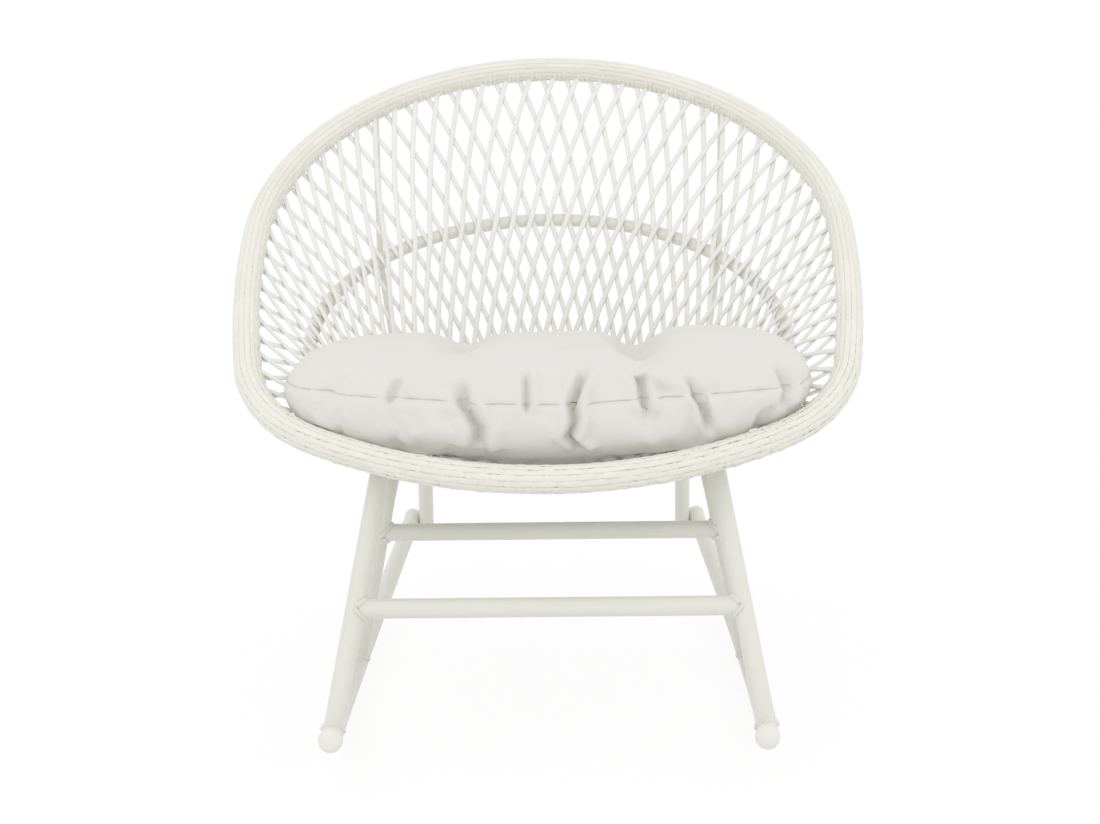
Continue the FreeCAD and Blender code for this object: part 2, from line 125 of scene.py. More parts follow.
class Bench:
    """A node tree under construction."""

    def __init__(self, tree: bpy.types.NodeTree) -> None:
        """Starts from an empty tree."""
        self.tree = tree
        tree.nodes.clear()

    def add(self, kind: str, settings: dict | None = None, inputs: dict | None = None,
            output: int | str = 0) -> Wire:
        """Adds one node.

        Args:
            kind: The node's type.
            settings: Its properties, set first.
            inputs: Values or wires for its sockets, by name or number.
            output: The output to hand back.

        Returns:
            The chosen output.
        """
        node = self.tree.nodes.new(kind)
        for name, value in (settings or {}).items():
            setattr(node, name, value)
        for key, value in (inputs or {}).items():
            if isinstance(value, Wire):
                self.tree.links.new(value.socket, node.inputs[key])
            else:
                node.inputs[key].default_value = value
        return Wire(self, node.outputs[output] if node.outputs else node.inputs[0])

    def maths(self, operation: str, left: Wire | float, right: Wire | float) -> Wire:
        """Adds a Math node for one operation on two values."""
        return self.add("ShaderNodeMath", {"operation": operation}, {0: left, 1: right})

    def blend(self, factor: Wire | float, first: Wire | tuple, second: Wire | tuple) -> Wire:
        """Mixes two colours by a factor."""
        return self.add("ShaderNodeMix", {"data_type": "RGBA"}, {0: factor, 6: first, 7: second}, 2)

    def speckle(self, scale: float, detail: float = 2.0) -> Wire:
        """Noise on the piece's own coordinates, from 0 to 1."""
        place = self.add("ShaderNodeTexCoord", output="Object")
        return self.add("ShaderNodeTexNoise", None, {"Vector": place, "Scale": scale, "Detail": detail})


@dataclass(frozen=True)
class Finish:
    """What every finish has: a name, a colour that drifts a little, gloss and a fine relief."""

    name: str
    colour: tuple[float, float, float, float]
    drift_colour: tuple[float, float, float, float]
    drift_scale: float = 9.0
    roughness: float = 0.45
    roughness_drift: float = 0.08
    relief_scale: float = 700.0
    relief_strength: float = 0.12
    relief_depth: float = 0.0004
    specular: float = 0.4

    def colour_wire(self, bench: Bench) -> Wire:
        """The colour over the surface."""
        return bench.blend(bench.speckle(self.drift_scale), self.colour, self.drift_colour)

    def relief_wire(self, bench: Bench) -> Wire:
        """The height of the fine relief over the surface."""
        return bench.speckle(self.relief_scale)

    def make(self) -> bpy.types.Material:
        """Builds the material.

        Returns:
            The new material.
        """
        material = bpy.data.materials.new(self.name)
        material.use_nodes = True
        bench = Bench(material.node_tree)
        roughness = self.roughness + self.roughness_drift * (bench.speckle(self.drift_scale * 3) - 0.5)
        bump = bench.add("ShaderNodeBump", None, {
            "Strength": self.relief_strength, "Distance": self.relief_depth,
            "Height": self.relief_wire(bench)})
        shader = bench.add("ShaderNodeBsdfPrincipled", None, {
            "Base Color": self.colour_wire(bench), "Roughness": roughness, "Normal": bump})
        self.tune(shader.socket.node)
        bench.add("ShaderNodeOutputMaterial", None, {"Surface": shader})
        return material

    def tune(self, shader: bpy.types.Node) -> None:
        """Sets what is the same all over the surface."""
        shader.inputs["Specular IOR Level"].default_value = self.specular


@dataclass(frozen=True)
class BandFinish(Finish):
    """Drawn resin: each stretch has its own tone, and fine lines run along it."""

    line_pitch: float = 6.0
    line_height: float = 0.5
    grain: float = 0.4
    tone_share: float = 0.6

    def colour_wire(self, bench: Bench) -> Wire:
        """Each stretch's own tone, with a slow drift over it."""
        tone = bench.add("ShaderNodeAttribute", {"attribute_name": "tone"}, output="Fac")
        drift = tone * self.tone_share + bench.speckle(self.drift_scale) * (1 - self.tone_share)
        return bench.blend(drift, self.colour, self.drift_colour)

    def relief_wire(self, bench: Bench) -> Wire:
        """Fine lines along each strip, by the place across it."""
        across = bench.add("ShaderNodeAttribute", {"attribute_name": "across"}, output="Fac")
        ripple = bench.maths("SINE", across * (2 * math.pi * self.line_pitch), 0.0)
        return ripple * self.line_height + bench.speckle(self.relief_scale) * self.grain


@dataclass(frozen=True)
class ClothFinish(Finish):
    """Plain woven cloth, its threads crossing on whichever side the surface faces."""

    thread_pitch: float = 0.0011
    thread_height: float = 0.5
    specular: float = 0.15
    sheen: float = 0.25
    sheen_roughness: float = 0.5

    def relief_wire(self, bench: Bench) -> Wire:
        """Crossing threads, mixed by the way the surface faces, with a few thicker ones."""
        place = bench.add("ShaderNodeTexCoord", output="Object")
        facing = bench.add("ShaderNodeNewGeometry", output="Normal")
        node = bench.add("ShaderNodeSeparateXYZ", None, {0: place}).socket.node
        turns = 2 * math.pi / self.thread_pitch
        x, y, z = (bench.maths("SINE", Wire(bench, axis) * turns, 0.0) for axis in node.outputs)
        sides = bench.add("ShaderNodeSeparateXYZ", None, {0: facing}).socket.node
        shares = [bench.maths("ABSOLUTE", Wire(bench, axis), 0.0) for axis in sides.outputs]
        weave = y * z * shares[0] + x * z * shares[1] + x * y * shares[2]
        return weave * self.thread_height + bench.speckle(self.relief_scale)

    def tune(self, shader: bpy.types.Node) -> None:
        """Gives the cloth its soft sheen."""
        super().tune(shader)
        shader.inputs["Sheen Weight"].default_value = self.sheen
        shader.inputs["Sheen Roughness"].default_value = self.sheen_roughness


FRAME_COAT = Finish(
    "satin_powder_coat", paint(235, 234, 226), paint(229, 228, 219), 6.0, 0.34, 0.06, 650, 0.1)
STRAND_RESIN = BandFinish(
    "strand_resin", paint(245, 244, 241), paint(238, 237, 232), 30.0, 0.42, 0.08, 300, 0.12)
BAND_RESIN = BandFinish(
    "band_resin", paint(243, 241, 233), paint(234, 232, 221), 20.0, 0.46, 0.08, 420, 0.2)
# Darker than the band's strips: painted shade for the slits between them.
BAND_SLIT_SHADE = Finish(
    "band_shadow", paint(222, 217, 204), paint(204, 197, 183), 60.0, 0.7, 0.05, 300, 0.2)
PLUG_PLASTIC = Finish(
    "plug_plastic", paint(240, 239, 233), paint(234, 233, 226), 25.0, 0.5, 0.08, 900, 0.1)
CUSHION_CLOTH = ClothFinish(
    "cushion_cloth", paint(233, 231, 227), paint(228, 226, 221), 14.0, 0.86, 0.06, 160, 0.2, 0.0006)
# Darker than the cloth: partly the seam's own thread, partly painted shade in the seam's groove.
SEAM_THREAD_AND_SHADE = Finish(
    "seam_thread", paint(220, 217, 212), paint(213, 210, 204), 40.0, 0.9, 0.05, 900, 0.1)


class GrowTree:
    """A Geometry Nodes tree that is run once on a seed mesh and leaves a plain mesh."""

    def __init__(self, name: str, inputs: dict[str, str]) -> None:
        """Makes a tree with a geometry input and output and the named inputs.

        Args:
            name: The tree's name.
            inputs: Socket types by input name.
        """
        self.tree = bpy.data.node_groups.new(name, "GeometryNodeTree")
        self.bench = Bench(self.tree)
        face = self.tree.interface
        face.new_socket("Seed", in_out="INPUT", socket_type="NodeSocketGeometry")
        face.new_socket("Result", in_out="OUTPUT", socket_type="NodeSocketGeometry")
        self.sockets = {key: face.new_socket(key, in_out="INPUT", socket_type=kind)
                        for key, kind in inputs.items()}
        self.start = self.tree.nodes.new("NodeGroupInput")

    def given(self, name: str) -> Wire:
        """One of the tree's own inputs."""
        return Wire(self.bench, self.start.outputs[name])

    def named(self, attribute: str, kind: str) -> Wire:
        """A named attribute of the seed."""
        return self.bench.add("GeometryNodeInputNamedAttribute", {"data_type": kind}, {"Name": attribute})

    def close(self, shape: Wire) -> None:
        """Ends the tree: plain geometry, smooth, in the given material."""
        whole = self.bench.add("GeometryNodeRealizeInstances", None, {0: shape})
        smooth = self.bench.add("GeometryNodeSetShadeSmooth", None, {0: whole, "Shade Smooth": True})
        dressed = self.bench.add("GeometryNodeSetMaterial", None, {
            0: smooth, "Material": self.given("Material")})
        self.bench.add("NodeGroupOutput", None, {0: dressed})

    def grow(self, name: str, seed: bpy.types.Mesh, values: dict) -> bpy.types.Object:
        """Runs the tree on a seed mesh.

        Args:
            name: The finished piece's name.
            seed: The mesh that the tree starts from.
            values: Values for the tree's named inputs.

        Returns:
            The finished piece, a plain mesh.
        """
        holder = bpy.data.objects.new(name + "_seed", seed)
        bpy.context.scene.collection.objects.link(holder)
        modifier = holder.modifiers.new("grow", "NODES")
        modifier.node_group = self.tree
        for key, value in values.items():
            modifier[self.sockets[key].identifier] = value
        graph = bpy.context.evaluated_depsgraph_get()
        graph.update()
        mesh = bpy.data.meshes.new_from_object(holder.evaluated_get(graph), depsgraph=graph)
        bpy.data.objects.remove(holder)
        piece = bpy.data.objects.new(name, mesh)
        bpy.context.scene.collection.objects.link(piece)
        return piece


def swept_tree() -> GrowTree:
    """A tree that gives every edge line of its seed an oval section that faces the seed's "facing"."""
    tree = GrowTree("swept_strands", {
        "Width": "NodeSocketFloat", "Thickness": "NodeSocketFloat", "Sides": "NodeSocketInt",
        "Material": "NodeSocketMaterial"})
    bench = tree.bench
    lines = bench.add("GeometryNodeMeshToCurve", None, {0: tree.given("Seed")})
    faced = bench.add("GeometryNodeSetCurveNormal", {"mode": "FREE"}, {
        "Curve": lines, "Normal": tree.named("facing", "FLOAT_VECTOR")})
    circle = bench.add("GeometryNodeCurvePrimitiveCircle", None, {
        "Resolution": tree.given("Sides"), "Radius": 0.5})
    across = bench.add("ShaderNodeSeparateXYZ", None, {0: bench.add("GeometryNodeInputPosition")}, 1)
    marked = bench.add("GeometryNodeStoreNamedAttribute", {"data_type": "FLOAT", "domain": "POINT"}, {
        "Geometry": circle, "Name": "across", "Value": across})
    scale = bench.add("ShaderNodeCombineXYZ", None, {
        0: tree.given("Thickness"), 1: tree.given("Width"), 2: 1.0})
    oval = bench.add("GeometryNodeTransform", None, {"Geometry": marked, "Scale": scale})
    swept = bench.add("GeometryNodeCurveToMesh", None, {
        "Curve": faced, "Profile Curve": oval, "Fill Caps": True})
    tree.close(swept)
    return tree


def placed_tree() -> GrowTree:
    """A tree that puts one small shape on every point of its seed, turned by "along" and "out"."""
    tree = GrowTree("placed_shapes", {"Shape": "NodeSocketObject", "Material": "NodeSocketMaterial"})
    bench = tree.bench
    turn = bench.add("FunctionNodeAxesToRotation", {"primary_axis": "Z", "secondary_axis": "X"}, {
        0: tree.named("out", "FLOAT_VECTOR"), 1: tree.named("along", "FLOAT_VECTOR")})
    shape = bench.add("GeometryNodeObjectInfo", None, {"Object": tree.given("Shape")}, "Geometry")
    placed = bench.add("GeometryNodeInstanceOnPoints", None, {
        "Points": tree.given("Seed"), "Instance": shape, "Rotation": turn,
        "Scale": tree.named("grow", "FLOAT_VECTOR")})
    tree.close(placed)
    return tree


def seed_mesh(name: str, points: list[Vector], edges: list[tuple[int, int]],
              vectors: dict[str, list[Vector]],
              numbers: dict[str, list[float]] | None = None) -> bpy.types.Mesh:
    """Makes a mesh of points and edges that carries attributes.

    Args:
        name: The mesh's name.
        points: Its points.
        edges: Its edges.
        vectors: Vector attributes of its points.
        numbers: Number attributes of its points.

    Returns:
        The mesh.
    """
    mesh = bpy.data.meshes.new(name)
    mesh.from_pydata(points, edges, [])
    for key, values in vectors.items():
        layer = mesh.attributes.new(key, "FLOAT_VECTOR", "POINT")
        layer.data.foreach_set("vector", [part for value in values for part in value])
    for key, values in (numbers or {}).items():
        layer = mesh.attributes.new(key, "FLOAT", "POINT")
        layer.data.foreach_set("value", values)
    return mesh


@dataclass
class Lines:
    """Lines under construction, for a tree that gives them their section."""

    points: list[Vector] = field(default_factory=list)
    edges: list[tuple[int, int]] = field(default_factory=list)
    facing: list[Vector] = field(default_factory=list)
    tone: list[float] = field(default_factory=list)

    def add(self, spots: list[tuple[Vector, Vector]], tone: list[float] | None = None,
            closed: bool = True) -> None:
        """Adds one line.

        Args:
            spots: Its points in order, each with the way the section faces there.
            tone: The shade at each, if the finish asks for one.
            closed: Whether the last point joins the first.
        """
        first = len(self.points)
        count = len(spots)
        self.edges += [(first + k, first + (k + 1) % count) for k in range(count if closed else count - 1)]
        self.points += [point for point, _ in spots]
        self.facing += [way for _, way in spots]
        self.tone += tone or []

    def mesh(self, name: str) -> bpy.types.Mesh:
        """The lines as a seed mesh."""
        tones = {"tone": self.tone} if self.tone else {}
        return seed_mesh(name, self.points, self.edges, {"facing": self.facing}, tones)


def skin_of_loops(name: str, loops: list[list[Vector]]) -> bpy.types.Mesh:
    """Joins closed loops of points, one after another, into a closed skin.

    Args:
        name: The mesh's name.
        loops: The loops, all with as many points.

    Returns:
        The mesh, its faces outward.
    """
    shape = bmesh.new()
    rings = [[shape.verts.new(point) for point in loop] for loop in loops]
    for before, after in zip(rings, rings[1:]):
        for k in range(len(before)):
            following = (k + 1) % len(before)
            shape.faces.new((before[k], before[following], after[following], after[k]))
    shape.faces.new(rings[0])
    shape.faces.new(list(reversed(rings[-1])))
    bmesh.ops.recalc_face_normals(shape, faces=shape.faces)
    mesh = bpy.data.meshes.new(name)
    shape.to_mesh(mesh)
    shape.free()
    return mesh


def settle(piece: bpy.types.Object, nodes: list[str]) -> None:
    """Ties a finished piece to the frame.

    Args:
        piece: The finished piece.
        nodes: The frame's nodes that it stands for.
    """
    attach(piece, BODY)
    if nodes:
        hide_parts(*nodes)
    LOG.info("%s: %d faces", piece.name, len(piece.data.polygons))


@dataclass(frozen=True)
class ShellForm:
    """Centre lines of rim, hoop and ring, and the strands' way from one to the next."""

    rim_tilt: float = 34.0
    rim_front_y: float = -0.324
    rim_front_z: float = 0.374
    rim_length: float = 0.904
    rim_half_width: float = 0.423
    rim_front_radius: float = 0.648
    rim_corner_radius: float = 0.188
    rim_corner_inset: float = 0.0233
    hoop_radius: float = 0.340
    hoop_tilt: float = 24.0
    hoop_y: float = 0.0284
    hoop_z: float = 0.5017
    hoop_tube: float = 0.020
    ring_radius: float = 0.225
    ring_y: float = 0.030
    ring_z: float = 0.3497
    strand_count: int = 72
    strand_width: float = 0.0084
    strand_thickness: float = 0.0038
    lay_offset: float = 0.0020
    rim_spread: float = 0.38
    back_step: tuple[float, float] = (1.5, 0.5)
    seat_step: tuple[float, float] = (3.0, 1.0)

    @staticmethod
    def tilted(x: float, along: float, tilt: float, y: float, z: float) -> Vector:
        """A point of a plane that climbs to the back at a tilt."""
        slope = math.radians(tilt)
        return Vector((x, y + along * math.cos(slope), z + along * math.sin(slope)))

    def rim_arcs(self) -> list[tuple[float, float, float, float, float]]:
        """Arcs of the rim's half from front to back: centre across, centre along, radius, two angles."""
        front = self.rim_front_radius
        corner = self.rim_corner_radius
        back = self.rim_half_width
        inset = self.rim_corner_inset
        corner_x = back - corner - inset
        front_turn = math.asin(corner_x / (front - corner))
        corner_along = front - (front - corner) * math.cos(front_turn)
        back_along = self.rim_length - back
        excess = (inset ** 2 + (back_along - corner_along) ** 2) / (2 * inset)
        side = corner + excess
        corner_turn = math.asin((excess - inset) / excess)
        return [
            (0, front, front, 0, front_turn),
            (corner_x, corner_along, corner, front_turn, corner_turn),
            (back - side, back_along, side, corner_turn, math.pi / 2),
            (0, back_along, back, math.pi / 2, math.pi),
        ]

    def rim(self, share: float) -> tuple[Vector, Vector]:
        """The rim's point and direction at a share of its length, from the back round by +X.

        Args:
            share: Share of the whole length.

        Returns:
            The point, and the rate at which it moves per whole length.
        """
        arcs = self.rim_arcs()
        half = sum(radius * (end - start) for _, _, radius, start, end in arcs)
        travelled = (share % 1) * 2 * half
        mirrored = travelled > half
        left = travelled - half if mirrored else half - travelled
        for centre_x, centre_along, radius, start, end in arcs:
            length = radius * (end - start)
            if left <= length or end == math.pi:
                break
            left -= length
        angle = start + left / radius
        x = centre_x + radius * math.sin(angle)
        along = centre_along - radius * math.cos(angle)
        point = self.tilted(x, along, self.rim_tilt, self.rim_front_y, self.rim_front_z)
        rate = self.tilted(math.cos(angle), math.sin(angle), self.rim_tilt, 0, 0) * (2 * half)
        if mirrored:
            return Vector((-point.x, point.y, point.z)), Vector((-rate.x, rate.y, rate.z))
        return point, -rate

    def hoop(self, share: float) -> tuple[Vector, Vector]:
        """The middle hoop's point and rate at a share of its length."""
        angle = share * 2 * math.pi
        point = self.tilted(self.hoop_radius * math.sin(angle), self.hoop_radius * math.cos(angle),
                            self.hoop_tilt, self.hoop_y, self.hoop_z)
        rate = self.tilted(math.cos(angle), -math.sin(angle), self.hoop_tilt, 0, 0)
        return point, rate * (2 * math.pi * self.hoop_radius)

    def ring(self, share: float) -> tuple[Vector, Vector]:
        """The seat ring's point and rate at a share of its length."""
        angle = share * 2 * math.pi
        point = Vector((self.ring_radius * math.sin(angle),
                        self.ring_y + self.ring_radius * math.cos(angle), self.ring_z))
        return point, Vector((math.cos(angle), -math.sin(angle), 0)) * (2 * math.pi * self.ring_radius)

    def hoop_pass(self) -> float:
        """How far inside the hoop's centre line the two lays' common middle runs."""
        return self.hoop_tube / 2 + self.strand_thickness / 2 + self.lay_offset

    def wall(self, share: float, down: float, offset: float) -> tuple[Vector, Vector]:
        """A point of the strands' wall and its outward normal.

        Args:
            share: Share of the way round, from the back by +X.
            down: 0 at the rim, 1 at the hoop, 2 at the ring.
            offset: Distance outwards from the wall's middle.

        Returns:
            The point and the normal.
        """
        upper, lower = (self.rim, self.hoop) if down <= 1 else (self.hoop, self.ring)
        part = down if down <= 1 else down - 1
        high, high_rate = upper(share)
        low, low_rate = lower(share)
        normal = (high_rate * (1 - part) + low_rate * part).cross(low - high).normalized()
        inward = self.hoop_pass() * (part if down <= 1 else 1 - part)
        return high.lerp(low, part) + normal * (offset - inward), normal

    def strand_share(self, number: int, lay: Lay, down: float) -> float:
        """Where a strand is round the shell at a place on its way down."""
        swing = math.cos(2 * math.pi * number / self.strand_count)
        back = self.back_step[0] + self.back_step[1] * swing + self.rim_spread
        seat = self.seat_step[0] + self.seat_step[1] * swing
        steps = back * down if down <= 1 else back + seat * (down - 1)
        return (number + lay.value * (steps - self.rim_spread)) / self.strand_count


@dataclass
class WickerShell:
    """The crossed strands from the rim over the hoop to the ring, and the net across the ring."""

    form: ShellForm
    stations: int = 13
    sides: int = 10
    pan_pitch: float = 0.040
    pan_angle: float = 30.0
    seed: int = 5

    def build(self, tree: GrowTree, finish: bpy.types.Material) -> None:
        """Makes one piece for each lay of the shell and of the net.

        Args:
            tree: The tree that gives a line its section.
            finish: The strands' material.
        """
        values = {"Width": self.form.strand_width, "Thickness": self.form.strand_thickness,
                  "Sides": self.sides, "Material": finish}
        for lay in Lay:
            name = lay.name.lower() + "_lay"
            shell = tree.grow("shell_strands_" + name, self.shell_seed(lay), values)
            settle(shell, ["back_strands_" + name, "seat_strands_" + name])
            pan = tree.grow("seat_net_" + name, self.pan_seed(lay), values)
            settle(pan, ["pan_strands_" + name])

    def shell_seed(self, lay: Lay) -> bpy.types.Mesh:
        """The centre lines of one lay's strands, each facing out of the shell."""
        lines = Lines()
        draw = random.Random(self.seed + lay.value)
        offset = lay.value * self.form.lay_offset
        downs = [station / self.stations for station in range(2 * self.stations + 1)]
        for number in range(self.form.strand_count):
            spots = [self.form.wall(self.form.strand_share(number, lay, down), down, offset)
                     for down in downs]
            lines.add(spots, [draw.random()] * len(spots), closed=False)
        return lines.mesh("shell_lines")

    def pan_seed(self, lay: Lay) -> bpy.types.Mesh:
        """The centre lines of one lay of the net across the ring."""
        angle = math.radians(90 + lay.value * self.pan_angle)
        along = Vector((math.cos(angle), math.sin(angle), 0))
        across = Vector((-along.y, along.x, 0))
        centre = Vector((0, self.form.ring_y, self.form.ring_z + lay.value * self.form.lay_offset))
        reach = int(self.form.ring_radius / self.pan_pitch - 1)
        lines = Lines()
        for number in range(-reach, reach + 1):
            middle = centre + across * (number * self.pan_pitch)
            half = math.sqrt(self.form.ring_radius ** 2 - (number * self.pan_pitch) ** 2)
            lines.add([(middle - along * half, UP), (middle + along * half, UP)], closed=False)
        return lines.mesh("net_lines")


@dataclass
class RimBand:
    """Flat strips woven lengthwise round the rim, and the short turns that tie the strands in."""

    form: ShellForm
    radius: float = 0.0168
    core_radius: float = 0.0160
    rows: int = 14
    cells: int = 180
    cell_stations: int = 4
    strip_width: float = 0.0083
    strip_thickness: float = 0.0022
    weave_height: float = 0.0005
    loose_lift: float = 0.0003
    loose_turn: float = 0.075
    strip_sides: int = 8
    core_sides: int = 20
    calm: float = 0.25
    front_lively: tuple[float, float, float] = (0.65, 0.50, 0.19)
    corner_lively: tuple[float, float, float] = (0.45, 0.40, 0.06)
    tone_run: int = 4
    tone_break: float = 0.3
    weft_shift: float = 0.1
    weft_radius: float = 0.0167
    weft_width: float = 0.0084
    weft_thickness: float = 0.0018
    weft_span: float = 0.26
    core_stations: int = 240
    wraps_per_strand: int = 3
    wrap_pitch: float = 0.185
    wrap_radius: float = 0.0200
    wrap_width: float = 0.0066
    wrap_length: float = 0.034
    wrap_end_dip: float = 0.0026
    wrap_edge_dip: float = 0.0010
    wrap_skirt: float = 0.0022
    wrap_shift: float = 0.02
    wrap_slant: float = 0.10
    wrap_grow: tuple[tuple[float, float], tuple[float, float]] = ((0.85, 1.1), (0.85, 1.0))
    wrap_look: float = 0.1
    seed: int = 11

    def build(self, placed: GrowTree, swept: GrowTree, finish: bpy.types.Material,
              slit_shade_finish: bpy.types.Material) -> None:
        """Makes the band, its cross strips, the turns over it and the core under it, darker than the strips
        as painted shade that shows in its slits.

        Args:
            placed: The tree that places one shape many times.
            swept: The tree that gives a line its section.
            finish: The strips' material.
            slit_shade_finish: The core's material, darker than the strips as painted shade in the slits.
        """
        strips = {"Sides": self.strip_sides, "Material": finish}
        band = swept.grow("rim_band", self.strip_seed(), {
            "Width": self.strip_width, "Thickness": self.strip_thickness, **strips})
        weft = swept.grow("rim_weft", self.weft_seed(), {
            "Width": self.weft_width, "Thickness": self.weft_thickness, **strips})
        wrap = bpy.data.objects.new("wrap", self.wrap_mesh())
        wraps = placed.grow("rim_wraps", self.wrap_seed(), {"Shape": wrap, "Material": finish})
        bpy.data.objects.remove(wrap)
        width = 2 * self.core_radius
        # The core shows in the slits between the strips; its darker colour is painted shade there.
        core = swept.grow("rim_under_band", self.core_seed(), {
            "Width": width, "Thickness": width, "Sides": self.core_sides, "Material": slit_shade_finish})
        for piece, nodes in ((band, ["rim_wrap"]), (core, ["rim_core"]), (weft, []), (wraps, [])):
            settle(piece, nodes)

    def spot(self, share: float, angle: float, radius: float) -> tuple[Vector, Vector]:
        """A point on the rim's round, with the direction out of it."""
        point, rate = self.form.rim(share)
        along = rate.normalized()
        rise = self.form.tilted(0, 1, self.form.rim_tilt + 90, 0, 0)
        aside = along.cross(rise)
        out = aside * math.cos(angle) + rise * math.sin(angle)
        return point + out * radius, out

    def liveliness(self, share: float) -> float:
        """How uneven the weave is round the rim: most at the front, and more on its right."""
        height, middle, reach = self.front_lively
        front = height * math.exp(-((share - middle) / reach) ** 4)
        height, middle, reach = self.corner_lively
        return self.calm + front + height * math.exp(-((share - middle) / reach) ** 2)

    def strip_seed(self) -> bpy.types.Mesh:
        """Closed lines of the strips, each going over and under its neighbours in turn."""
        lines = Lines()
        draw = random.Random(self.seed)
        stations = self.cells * self.cell_stations
        for row in range(self.rows):
            sways = [draw.uniform(-1, 1) for _ in range(self.cells)]
            lifts = [draw.uniform(-1, 1) for _ in range(self.cells)]
            shades = [draw.random() for _ in range(self.cells)]
            spots = []
            tone = []
            for station in range(stations):
                place = station / self.cell_stations
                cell = int(place)
                later = (cell + 1) % self.cells
                part = place - cell
                lively = self.liveliness(station / stations)
                sway = sways[cell] * (1 - part) + sways[later] * part
                lift = self.loose_lift * (lifts[cell] * (1 - part) + lifts[later] * part)
                lift += self.weave_height * math.cos(math.pi * (place + row))
                angle = 2 * math.pi * (row + self.loose_turn * lively * sway) / self.rows
                spots.append(self.spot(station / stations, angle, self.radius + lively * lift))
                own = self.tone_break * lively
                tone.append(shades[cell // self.tone_run] * (1 - own) + own * shades[-1 - cell])
            lines.add(spots, tone)
        return lines.mesh("strip_lines")

    def weft_seed(self) -> bpy.types.Mesh:
        """Closed lines of the cross strips at the front, each under the strips that go over it."""
        lines = Lines()
        draw = random.Random(self.seed + 2)
        steps = self.rows * self.cell_stations
        reach = int(self.cells * self.weft_span)
        for cell in range(self.cells // 2 - reach, self.cells // 2 + reach + 1):
            share = (cell + self.weft_shift * draw.uniform(-1, 1)) / self.cells
            height = self.weave_height * self.liveliness(share)
            shade = draw.random()
            spots = []
            for step in range(steps):
                row = step / self.cell_stations
                lift = -height * math.cos(math.pi * (cell + row))
                spots.append(self.spot(share, 2 * math.pi * row / self.rows, self.weft_radius + lift))
            lines.add(spots, [shade] * steps)
        return lines.mesh("weft_lines")

    def wrap_seed(self) -> bpy.types.Mesh:
        """A point for every short turn that ties the strands in, on the side where they leave."""
        points: list[Vector] = []
        vectors: dict[str, list[Vector]] = {"along": [], "out": [], "grow": []}
        tone: list[float] = []
        draw = random.Random(self.seed + 1)
        for number in range(self.form.strand_count * self.wraps_per_strand):
            strand, turn = divmod(number, self.wraps_per_strand)
            aside = (turn - (self.wraps_per_strand - 1) / 2) * self.wrap_pitch
            share = (strand + 0.5 + aside + self.wrap_shift * draw.uniform(-1, 1)) / self.form.strand_count
            point, rate = self.form.rim(share)
            way = rate.normalized()
            leave = self.form.wall(share, self.wrap_look, 0)[0] - point
            leave = (leave - way * leave.dot(way)).normalized()
            points.append(point + leave * (self.wrap_radius + self.loose_lift * draw.uniform(-1, 1)))
            vectors["along"].append(way.cross(leave) + way * (self.wrap_slant * draw.uniform(-1, 1)))
            vectors["out"].append(leave)
            vectors["grow"].append(Vector((*(draw.uniform(*span) for span in self.wrap_grow), 1)))
            tone.append(draw.random())
        return seed_mesh("wrap_points", points, [], vectors, {"tone": tone})

    def core_seed(self) -> bpy.types.Mesh:
        """The rim's closed centre line."""
        lines = Lines()
        lines.add([self.spot(number / self.core_stations, 0, 0) for number in range(self.core_stations)])
        return lines.mesh("rim_line")

    def wrap_mesh(self) -> bpy.types.Mesh:
        """One short turn bent round the rim, with dipped ends and edges and a skirt round it."""
        lengthwise = (-0.5, -0.42, -0.22, 0.0, 0.22, 0.42, 0.5)
        crosswise = (-0.5, -0.3, 0.3, 0.5)
        points = []
        across = []
        for u in lengthwise:
            for v in crosswise:
                dip = self.wrap_end_dip * (2 * abs(u)) ** 4 + self.wrap_edge_dip * (2 * abs(v)) ** 3
                turn = u * self.wrap_length / self.wrap_radius
                reach = self.wrap_radius - dip
                points.append((reach * math.sin(turn), v * self.wrap_width,
                               reach * math.cos(turn) - self.wrap_radius))
                across.append(v)
        wide = len(crosswise)
        long = len(lengthwise)
        faces = []
        for i in range(long - 1):
            for j in range(wide - 1):
                first = i * wide + j
                faces.append((first, first + wide, first + wide + 1, first + 1))
        ring = [i * wide for i in range(long)] + [(long - 1) * wide + j for j in range(1, wide)]
        ring += [i * wide + wide - 1 for i in reversed(range(long - 1))] + list(reversed(range(1, wide - 1)))
        base = len(points)
        for index in ring:
            x, y, z = points[index]
            points.append((x, y, z - self.wrap_skirt))
            across.append(across[index])
        for k in range(len(ring)):
            following = (k + 1) % len(ring)
            faces.append((ring[k], base + k, base + following, ring[following]))
        mesh = bpy.data.meshes.new("wrap")
        mesh.from_pydata(points, [], faces)
        layer = mesh.attributes.new("across", "FLOAT", "POINT")
        layer.data.foreach_set("value", across)
        return mesh


